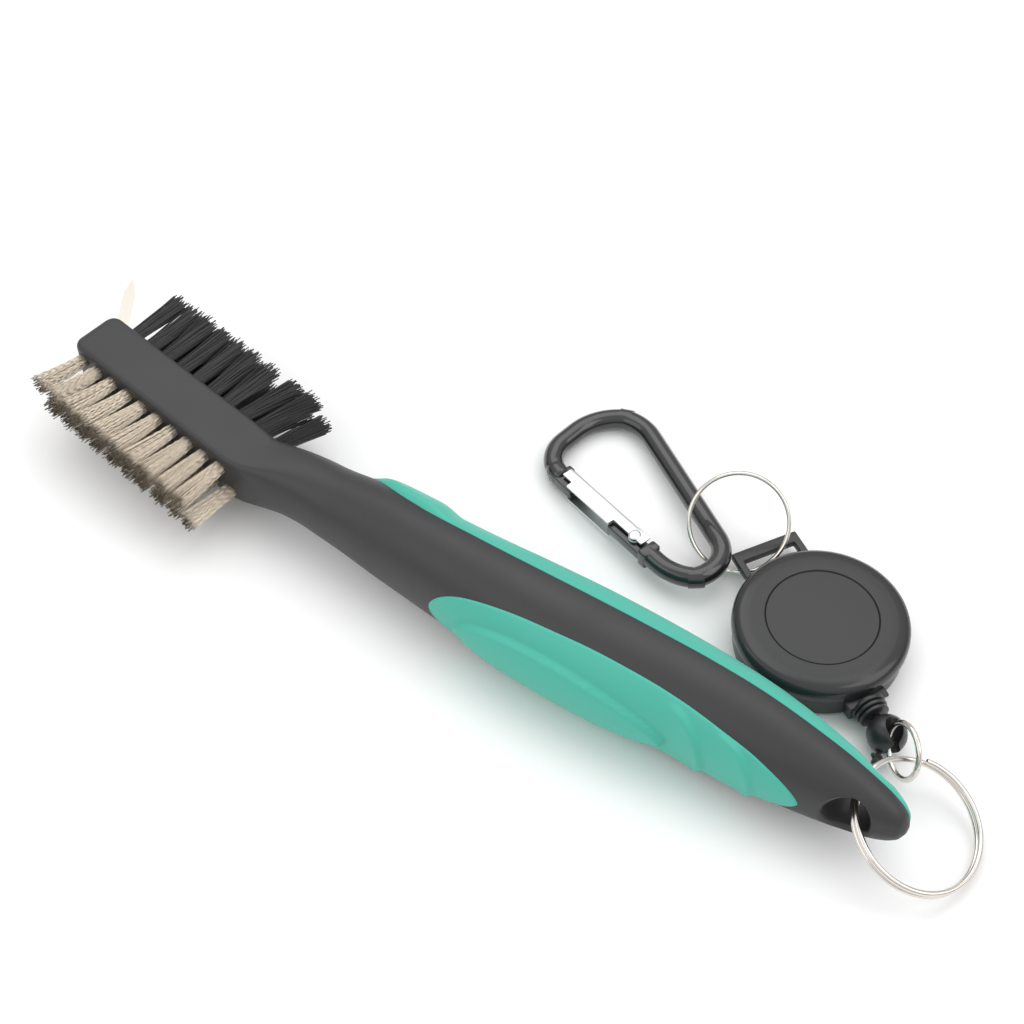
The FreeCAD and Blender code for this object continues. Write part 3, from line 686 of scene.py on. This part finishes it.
def lug_frame(bm):
    """A plate with a window: one face is inset, the middle taken out, and the rest made thick."""
    plate = bmesh.ops.create_grid(bm, x_segments=1, y_segments=1, size=0.5)["verts"]
    size = Matrix.Diagonal((8.1, LUG_HIGH - LUG_LOW, 1, 1))
    bmesh.ops.transform(bm, matrix=Matrix.Translation((-18.55, 0.6, 2.3)) @ size, verts=plate)
    face = list({f for v in plate for f in v.link_faces})
    bmesh.ops.inset_region(bm, faces=face, thickness=1.45, depth=0, use_even_offset=True,
                           use_boundary=True)
    inner = [v for f in face for v in f.verts]
    for v in inner:
        v.co.x = -20.3 if v.co.x < -18.55 else -15.6
    bmesh.ops.delete(bm, geom=face, context="FACES_ONLY")
    rim = list({f for v in inner for f in v.link_faces})
    raised = bmesh.ops.extrude_face_region(bm, geom=rim, use_keep_orig=True)["geom"]
    top = [g for g in raised if isinstance(g, bmesh.types.BMVert)]
    bmesh.ops.translate(bm, vec=(0, 0, 1.6), verts=top)
    edges = list({e for v in top + [v for f in rim for v in f.verts] for e in v.link_edges})
    bmesh.ops.bevel(bm, geom=edges, offset=0.22, segments=3, affect="EDGES", profile=0.5,
                    material=-1)


lug = bmesh.new()
lug_frame(lug)
keep("reel_lug", put(lug, REEL), "reel", "reel_plastic", sharp=50)
keep("reel_back", put(back, REEL), "reel", "reel_plastic", ("reel_back_cover",), sharp=50)

# %% [markdown]
# ## Collar, bead and cord
#
# The cord leaves through a ribbed collar and ends in a round bead, which stops it from running
# into the reel. The bead has a cross hole for the jump ring, and the cord's knot sits under it.
# The collar is spun about the cord's line, and the bead is a sphere with its hole cut away. The
# stretch of cord between them runs straight along that line, from inside the collar to the bead.

# %% Ribbed collar
ALONG_CORD = REEL @ Matrix.Translation((0, 0, 3.8)) @ Matrix.Rotation(math.pi / 2, 4, "Y")
collar = [(0.9, 17.0, 0), (2.5, 17.0, 0.1), (2.5, 17.5, 0.1)]
for i, rib in enumerate((3.3, 3.12, 2.92)):
    x = 17.45 + 0.98 * i
    collar += [(rib - 0.6, x, 0.12), (rib, x + 0.08, 0.2), (rib, x + 0.72, 0.22),
               (rib - 0.6, x + 0.8, 0.12)]
collar += [(2.1, 20.3, 0.2), (0.9, 20.3, 0)]
keep("cord_collar", put(spun(collar, 64), ALONG_CORD), "reel", "bead_plastic", ("cord_exit_bush",),
     sharp=50)

# %% Bead and knot
BEAD = REEL @ Vector((24.25, 0, 3.8))
jump_normal = Vector(JUMP_NORMAL).normalized()
to_ring = (at(*JUMP_CENTRE) - BEAD).normalized()
hole_axis = jump_normal.cross(to_ring).normalized()
hole_place = at(*JUMP_CENTRE) - to_ring * (5.0 - 0.7) * MM

bead = bmesh.new()
bmesh.ops.create_uvsphere(bead, u_segments=96, v_segments=64, radius=3.7 * MM)
put(bead, Matrix.Translation(BEAD))
drill = bmesh.new()
bmesh.ops.create_cone(drill, cap_ends=True, segments=48, radius1=1.7 * MM, radius2=1.7 * MM,
                      depth=20 * MM)
put(drill, Matrix.Translation(hole_place) @ hole_axis.to_track_quat("Z", "Y").to_matrix().to_4x4())
bead_mesh = cut_away(bead, drill)
keep_mesh("bead_ball", bead_mesh, "bead", "bead_plastic", ("bead_stop",), sharp=45)

knot_at = np.array((173.7, 14.0, 2.2))
bead_foot = np.array((173.6, 16.4, 3.0))
steps = np.linspace(0, 1, 9)[:, None]
tail = bead_foot + (knot_at - bead_foot) * steps
keep("cord_tail", wrapped(swept(tail, 0.5, 12)), "bead", "cord_black")
turn = np.linspace(0, 2 * np.pi, 120, endpoint=False)
knot_line = np.column_stack((0.42 * (np.sin(turn) + 1.1 * np.sin(2 * turn)),
                             0.42 * (np.cos(turn) - 1.1 * np.cos(2 * turn)),
                             -0.36 * np.sin(3 * turn))) + knot_at
knot_rings = swept(np.concatenate((knot_line, knot_line[:1])), 0.42, 12)
keep("cord_knot", wrapped(knot_rings), "bead", "cord_black")

# %% Cord between the bead and the reel
cord_x = np.linspace(22.4, 16.2, 60)
centre_line = np.array([((REEL @ Vector((x, 0, 3.8))) - ZERO) / MM for x in cord_x])
cord = keep("cord_run", wrapped(swept(centre_line, 0.49, 14)), "", "cord_black", ("cord_end",))
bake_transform(cord)

# %% [markdown]
# ## The carabiner
#
# One rod is bent into a pear shape, and a folded sheet gate closes it. The rod is a round
# section carried along straight runs and arcs, so it keeps its thickness through the bends.
# Near the hook the section pinches in a collar line. The gate is a U-shaped channel, open
# outwards, with a pressed groove; its profile is swept along straight stations, and the sides
# are cut back at both ends, where the body's black tongues show.

# %% The carabiner's plane
CLIP_HINGE = Vector((88.0, 46.0, 2.2))
CLIP_TILT = Matrix.Rotation(math.radians(-3.3), 3, Vector((0.37, 0.93, 0)))


def laid(points):
    """Points of the carabiner's own flat plane, laid where it leans on the ring."""
    points = np.asarray(points, float) + np.array((0, 0, CLIP_HINGE.z))
    return (points - np.array(CLIP_HINGE)) @ np.array(CLIP_TILT).T + np.array(CLIP_HINGE)


GATE_A, GATE_B = np.array((86.2, 37.4, 0)), np.array((124.3, 25.9, 0))
GATE_DIR = (GATE_B - GATE_A) / np.linalg.norm(GATE_B - GATE_A)
GATE_IN = np.cross((0, 0, 1), GATE_DIR)
GATE_TOP, GATE_PIVOT, GATE_TAIL = 93.2, 113.1, 115.6


def on_gate(x, inward=0.0, z=0.0):
    along = (x - GATE_A[0]) / GATE_DIR[0]
    return GATE_A + GATE_DIR * along + GATE_IN * inward + np.array((0, 0, z))


# %% The rod's line
CORNERS = (((124.3, 25.9), 10.1), ((134.6, 33.1), 6.8), ((97.4, 56.6), 9.8), ((89.0, 53.8), 11.5),
           ((86.2, 37.4), 6.9))


def rod_line():
    start, stop = on_gate(GATE_TAIL + 1.3), on_gate(GATE_TOP - 0.55)
    points = [start] + [np.array((*xy, 0.0)) for xy, _ in CORNERS] + [stop]
    line = [start]
    for i, (_, radius) in enumerate(CORNERS):
        corner = points[i + 1]
        back = points[i] - corner
        ahead = points[i + 2] - corner
        back, ahead = back / np.linalg.norm(back), ahead / np.linalg.norm(ahead)
        half = math.acos(back @ ahead) / 2
        middle = (back + ahead) / np.linalg.norm(back + ahead)
        centre = corner + middle * radius / math.sin(half)
        first = corner + back * radius / math.tan(half) - centre
        last = corner + ahead * radius / math.tan(half) - centre
        sweep = math.acos(np.clip(first @ last / radius ** 2, -1, 1))
        for t in np.linspace(0, 1, max(8, int(sweep * 14))):
            line.append(centre + (first * math.sin((1 - t) * sweep) + last * math.sin(t * sweep))
                        / math.sin(sweep))
    line.append(stop)
    return np.array(line)


def evenly(line, gap):
    """The same line with its points an even gap apart."""
    length = np.concatenate(([0], np.cumsum(np.linalg.norm(np.diff(line, axis=0), axis=1))))
    places = np.linspace(0, length[-1], int(length[-1] / gap))
    return np.column_stack([np.interp(places, length, line[:, k]) for k in range(3)]), places


rod, run = evenly(rod_line(), 0.35)
left = run[-1] - run
radius = 2.0 - 0.16 * np.exp(-((left - 3.3) / 0.28) ** 2) - 0.25 * eased((0.5 - left) / 0.5)
radius = radius + 0.06 * eased((3.0 - left) / 0.5) * (left > 0.5)
keep("carabiner_rod", wrapped(swept(laid(rod), radius, 28)), "carabiner", "carabiner_black",
     ("carabiner_body",), sharp=50)
print("rod length", round(float(run[-1]), 1), "mm")

# %% Tongues, lip and shoulder
gate_turn = math.atan2(GATE_DIR[1], GATE_DIR[0])


def gate_matrix(x):
    """From a gate frame (along, inward, up, in mm, zero at x on the gate line) to the brush."""
    flat = Matrix.Translation(at(*CLIP_HINGE)) @ CLIP_TILT.to_4x4() @ Matrix.Diagonal((MM, MM, MM, 1))
    spot = Vector(on_gate(x)) + Vector((0, 0, CLIP_HINGE.z)) - CLIP_HINGE
    return flat @ Matrix.Translation(spot) @ Matrix.Rotation(gate_turn, 4, "Z")


hook = bmesh.new()
block(hook, -2.4, 4.4, -1.95, 0.35, -1.15, 1.15, 0.25)
block(hook, -0.9, 0.75, 0.9, 2.45, -1.45, 1.45, 0.3)
keep("hook_tongue", put(hook, gate_matrix(GATE_TOP - 0.6)), "carabiner", "carabiner_black", sharp=50)
shoulder = bmesh.new()
block(shoulder, -6.0, 4.2, -1.9, 1.25, -1.05, 1.05, 0.25)
block(shoulder, 2.95, 5.2, -2.05, 2.1, -1.95, 1.95, 0.5, 4)
keep("pivot_tongue", put(shoulder, gate_matrix(GATE_PIVOT)), "carabiner", "carabiner_black", sharp=50)

# %% The gate
FULL, CUT = -1.9, -0.55


def channel(edge):
    """Half the folded sheet's section, (inward, up), then the other half mirrored below."""
    groove = 0.35
    upper = [(edge, 1.62), (edge, 2.06), (edge + 0.05, 2.1)]
    if edge < groove - 0.9:
        upper += [(groove - 0.22, 2.1), (groove, 1.94), (groove + 0.22, 2.1)]
    else:
        upper += [(edge + 0.2, 2.1), (edge + 0.3, 2.1), (edge + 0.4, 2.1)]
    upper += [(1.4, 2.1), (1.62, 2.03), (1.82, 1.85), (1.9, 1.6)]
    inner = [(1.42, 1.45), (1.3, 1.6)]
    lower = [(a, -b) for a, b in upper[::-1]]
    return [(edge, 1.6)] + upper + lower + [(edge, -1.6)] + [(1.3, -1.6), (1.42, -1.45)] + inner


def gate_rings(stations):
    return np.array([[on_gate(x, inward, z) for inward, z in channel(edge)] for x, edge in stations])


web_end = GATE_PIVOT - 0.95
stations = [(GATE_TOP, CUT), (GATE_TOP + 2.6, CUT), (GATE_TOP + 2.65, FULL),
            (web_end - 4.4, FULL), (web_end - 4.35, CUT), (web_end, CUT)]
rings = gate_rings(stations)
gate = wrapped(laid(rings.reshape(-1, 3)).reshape(rings.shape))
keep("gate_channel", gate, "gate", "gate_aluminium", ("carabiner_gate",), sharp=28)
cheeks = bmesh.new()
for z0 in (1.6, -2.1):
    block(cheeks, -1.1, 2.45, CUT, 1.9, z0, z0 + 0.5, 0.14)
keep("gate_cheeks", put(cheeks, gate_matrix(GATE_PIVOT)), "gate", "gate_aluminium", sharp=50)

# %% Rivet
rivet = spun(((0, 2.48, 0), (0.9, 2.42, 0.2), (1.25, 2.1, 0.1), (0.7, 2.1, 0.02), (0.7, -2.1, 0.02),
              (1.25, -2.1, 0.1), (0.9, -2.42, 0.2), (0, -2.48, 0)), 48)
keep("rivet_pin", put(rivet, gate_matrix(GATE_PIVOT)), "carabiner", "gate_aluminium",
     ("gate_rivet",), sharp=50)

# %% [markdown]
# ## The spike
#
# A flat steel blade with a point stands out of the head, for cleaning a club's grooves. The CAD
# blade already has the right shape, so it stays, as do the staples, the spool, the spring and
# the cord inside the reel. They only get better finishes below.

# %% [markdown]
# ## Finishes
#
# Every finish is procedural. One recipe serves plastics, rubber and metals: a slow noise shifts
# the colour and the gloss a little, as handling does, and a fine noise gives the moulded grain.
# Patterns read Object coordinates, which stay put because every piece sits at the origin.
# Numbers that are the same all over a piece are set on the shader itself.

# %% The recipe
PLASTIC_IOR = 1.5
COAT_ROUGH = 0.06


def finish(name, colour, rough, metallic=0.0, grain=0, depth=0.0, blotch=0.05, coat=0.0, spread=0.1,
           sheen=0.0, cloud_scale=70):
    material = bpy.data.materials.new(name)
    material.use_nodes = True
    nodes, links = material.node_tree.nodes, material.node_tree.links
    shader = nodes["Principled BSDF"]
    shader.inputs["Metallic"].default_value = metallic
    shader.inputs["IOR"].default_value = PLASTIC_IOR
    shader.inputs["Coat Weight"].default_value = coat
    shader.inputs["Coat Roughness"].default_value = COAT_ROUGH
    shader.inputs["Sheen Weight"].default_value = sheen
    place = nodes.new("ShaderNodeTexCoord")
    cloud = nodes.new("ShaderNodeTexNoise")
    cloud.inputs["Scale"].default_value = cloud_scale
    cloud.inputs["Detail"].default_value = 4
    links.new(place.outputs["Object"], cloud.inputs["Vector"])
    tint = nodes.new("ShaderNodeMix")
    tint.data_type = "RGBA"
    tint.inputs["A"].default_value = [c * (1 - blotch) for c in colour] + [1]
    tint.inputs["B"].default_value = [c * (1 + blotch) for c in colour] + [1]
    links.new(cloud.outputs["Fac"], tint.inputs["Factor"])
    links.new(tint.outputs["Result"], shader.inputs["Base Color"])
    gloss = nodes.new("ShaderNodeMapRange")
    gloss.inputs["From Min"].default_value = 0.3
    gloss.inputs["From Max"].default_value = 0.7
    gloss.inputs["To Min"].default_value = rough * (1 - spread)
    gloss.inputs["To Max"].default_value = rough * (1 + spread)
    links.new(cloud.outputs["Fac"], gloss.inputs["Value"])
    links.new(gloss.outputs["Result"], shader.inputs["Roughness"])
    if grain:
        fine = nodes.new("ShaderNodeTexNoise")
        fine.inputs["Scale"].default_value = grain
        fine.inputs["Detail"].default_value = 3
        links.new(place.outputs["Object"], fine.inputs["Vector"])
        bump = nodes.new("ShaderNodeBump")
        bump.inputs["Strength"].default_value = 1.0
        bump.inputs["Distance"].default_value = depth * MM
        links.new(fine.outputs["Fac"], bump.inputs["Height"])
        links.new(bump.outputs["Normal"], shader.inputs["Normal"])
    return material


def step_between(nodes, links, value, low, high, first, last):
    """A value that runs from first to last as the input goes from low to high."""
    ramp = nodes.new("ShaderNodeMapRange")
    for socket, number in (("From Min", low), ("From Max", high), ("To Min", first), ("To Max", last)):
        ramp.inputs[socket].default_value = number
    links.new(value, ramp.inputs["Value"])
    return ramp.outputs["Result"]


# %% Plastics, rubber and metals
BLACK = (0.021, 0.021, 0.0225)
finishes = {
    "handle_black": finish("handle_black", (0.027, 0.027, 0.029), 0.46, grain=3800, depth=0.012),
    "grip_green": finish("grip_green", (0.055, 0.43, 0.33), 0.5, grain=3000, depth=0.006,
                         blotch=0.03, sheen=0.05),
    "spike_steel": finish("spike_steel", (0.62, 0.58, 0.53), 0.34, 1.0, grain=2200, depth=0.004),
    "staple_steel": finish("staple_steel", (0.5, 0.49, 0.47), 0.4, 1.0),
    "nickel_wire": finish("nickel_wire", (0.74, 0.70, 0.65), 0.17, 1.0, blotch=0.08, spread=0.35,
                          cloud_scale=400),
    "bead_plastic": finish("bead_plastic", BLACK, 0.3, grain=1500, depth=0.004),
    "reel_plastic": finish("reel_plastic", BLACK, 0.32, grain=2500, depth=0.003),
    "spring_steel": finish("spring_steel", (0.45, 0.45, 0.47), 0.3, 1.0),
    "spool_plastic": finish("spool_plastic", (0.75, 0.75, 0.72), 0.4),
    "carabiner_black": finish("carabiner_black", (0.012, 0.012, 0.013), 0.16, grain=1400,
                              depth=0.0015, coat=0.6, spread=0.2),
    "bristle_nylon": finish("bristle_nylon", (0.012, 0.012, 0.013), 0.38, blotch=0.3,
                            cloud_scale=900),
    "gate_aluminium": finish("gate_aluminium", (0.8, 0.81, 0.82), 0.3, 1.0),
    "bristle_wire": finish("bristle_wire", (0.66, 0.58, 0.47), 0.42, 0.85, blotch=0.35,
                           cloud_scale=1400),
    "cord_black": finish("cord_black", (0.018, 0.018, 0.018), 0.75, sheen=0.3),
    "reel_gloss": finish("reel_gloss", BLACK, 0.3),
}

# %% [markdown]
# Four finishes need one thing more. The wire's cut tips are dark, so the colour falls off with
# the distance from the head. The gate's sheet was rolled, which leaves fine lines along it. The
# braided cord has diagonal ribs. The reel's face is satin, and its rim is polished.

# %% Dark wire tips
def dark_tips(material, start, stop):
    nodes, links = material.node_tree.nodes, material.node_tree.links
    shader = nodes["Principled BSDF"]
    place = next(n for n in nodes if n.type == "TEX_COORD")
    turn = nodes.new("ShaderNodeMapping")
    turn.vector_type = "TEXTURE"
    turn.inputs["Location"].default_value = at(*HEAD_START, 0)
    turn.inputs["Rotation"].default_value = (0, 0, -HEAD_TOE)
    links.new(place.outputs["Object"], turn.inputs["Vector"])
    split = nodes.new("ShaderNodeSeparateXYZ")
    links.new(turn.outputs["Vector"], split.inputs["Vector"])
    dark = nodes.new("ShaderNodeMix")
    dark.data_type = "RGBA"
    clean = shader.inputs["Base Color"].links[0].from_socket
    links.new(clean, dark.inputs["A"])
    dark.inputs["B"].default_value = (0.035, 0.028, 0.02, 1)
    amount = step_between(nodes, links, split.outputs["Y"], start * MM, stop * MM, 0.0, 0.85)
    links.new(amount, dark.inputs["Factor"])
    links.new(dark.outputs["Result"], shader.inputs["Base Color"])


dark_tips(finishes["bristle_wire"], -15.4, -17.2)

# %% Rolled lines on the gate
def rolled_lines(material, direction, pitch):
    nodes, links = material.node_tree.nodes, material.node_tree.links
    place = next(n for n in nodes if n.type == "TEX_COORD")
    turn = nodes.new("ShaderNodeMapping")
    turn.vector_type = "TEXTURE"
    turn.inputs["Rotation"].default_value = (0, 0, direction)
    links.new(place.outputs["Object"], turn.inputs["Vector"])
    stretch = nodes.new("ShaderNodeMapping")
    stretch.inputs["Scale"].default_value = (20, 1 / (pitch * MM), 1 / (pitch * MM))
    links.new(turn.outputs["Vector"], stretch.inputs["Vector"])
    lines = nodes.new("ShaderNodeTexNoise")
    lines.inputs["Scale"].default_value = 1.0
    lines.inputs["Detail"].default_value = 2
    links.new(stretch.outputs["Vector"], lines.inputs["Vector"])
    bump = nodes.new("ShaderNodeBump")
    bump.inputs["Distance"].default_value = 0.02 * MM
    links.new(lines.outputs["Fac"], bump.inputs["Height"])
    links.new(bump.outputs["Normal"], nodes["Principled BSDF"].inputs["Normal"])


rolled_lines(finishes["gate_aluminium"], gate_turn, 0.28)

# %% Braid on the cord
def braid(material, pitch):
    nodes, links = material.node_tree.nodes, material.node_tree.links
    place = next(n for n in nodes if n.type == "TEX_COORD")
    weave = nodes.new("ShaderNodeTexWave")
    weave.bands_direction = "DIAGONAL"
    weave.inputs["Scale"].default_value = 1 / (pitch * MM * 4)
    weave.inputs["Distortion"].default_value = 1.5
    links.new(place.outputs["Object"], weave.inputs["Vector"])
    bump = nodes.new("ShaderNodeBump")
    bump.inputs["Distance"].default_value = 0.08 * MM
    links.new(weave.outputs["Fac"], bump.inputs["Height"])
    links.new(bump.outputs["Normal"], nodes["Principled BSDF"].inputs["Normal"])


braid(finishes["cord_black"], 0.5)

# %% Satin face, polished rim
def satin_face(material, centre, radius, satin, polished):
    nodes, links = material.node_tree.nodes, material.node_tree.links
    place = next(n for n in nodes if n.type == "TEX_COORD")
    move = nodes.new("ShaderNodeMapping")
    move.inputs["Location"].default_value = -centre
    move.inputs["Scale"].default_value = (1, 1, 0)
    links.new(place.outputs["Object"], move.inputs["Vector"])
    far = nodes.new("ShaderNodeVectorMath")
    far.operation = "LENGTH"
    links.new(move.outputs["Vector"], far.inputs[0])
    rough = step_between(nodes, links, far.outputs["Value"], (radius - 0.6) * MM, (radius + 0.9) * MM,
                         satin, polished)
    links.new(rough, nodes["Principled BSDF"].inputs["Roughness"])


reel_centre = at(*REEL_MIDDLE)
reel_centre.z = 0
satin_face(finishes["reel_gloss"], reel_centre, 13.6, 0.42, 0.17)

# %% Give every piece its finish
node_slots = {row["node"]: row["material_slot"] for row in frame["record"]["subparts"]}
for name, obj in frame["nodes"].items():
    obj.data.materials.clear()
    obj.data.materials.append(finishes[node_slots[name]])
for obj, slot in kept_pieces:
    obj.data.materials.clear()
    obj.data.materials.append(finishes[slot])
print(len(kept_pieces), "new pieces and", len(node_slots), "frame nodes have a finish")

# %% [markdown]
# ## Table and light
#
# A plain white table and a bright room keep the shadows faint. The room is bright overhead and
# grey near the floor, so that polished metal shows both. One large soft panel draws the long
# highlights on the handle, and two smaller ones put clear shapes on the rod and the rings.

# %% Table
table = bmesh.new()
bmesh.ops.create_grid(table, x_segments=1, y_segments=1, size=3.0)
mesh = bpy.data.meshes.new("table")
table.to_mesh(mesh)
table.free()
table = bpy.data.objects.new("table", mesh)
table.location.z = -0.00005
scene.collection.objects.link(table)
white = finish("table_white", (0.93, 0.93, 0.93), 0.9, blotch=0.004)
mesh.materials.append(white)


# %% Light
def panel(name, place, aim, width, height, power):
    light = bpy.data.lights.new(name, "AREA")
    light.shape = "RECTANGLE"
    light.size, light.size_y = width, height
    light.energy = power
    obj = bpy.data.objects.new(name, light)
    obj.location = place
    obj.rotation_euler = (aim - place).to_track_quat("-Z", "Y").to_euler()
    scene.collection.objects.link(obj)


middle = at(95, 10, 8)
panel("top_panel", at(-60, 260, 560), middle, 0.7, 0.5, 1.3)
panel("side_panel", at(420, 120, 330), middle, 0.25, 0.35, 0.4)
panel("front_panel", at(-120, -380, 300), middle, 0.6, 0.35, 0.5)

ROOM_STRENGTH = 1.0
ROOM_LOW, ROOM_HIGH = 0.3, 1.0      # near the floor and overhead
world = bpy.data.worlds.new("room")
world.use_nodes = True
nodes, links = world.node_tree.nodes, world.node_tree.links
way = nodes.new("ShaderNodeTexCoord")
split = nodes.new("ShaderNodeSeparateXYZ")
links.new(way.outputs["Generated"], split.inputs["Vector"])
links.new(step_between(nodes, links, split.outputs["Z"], -0.05, 0.75, ROOM_LOW, ROOM_HIGH),
          nodes["Background"].inputs["Color"])
nodes["Background"].inputs["Strength"].default_value = ROOM_STRENGTH
scene.world = world
scene.view_settings.view_transform = "Standard"
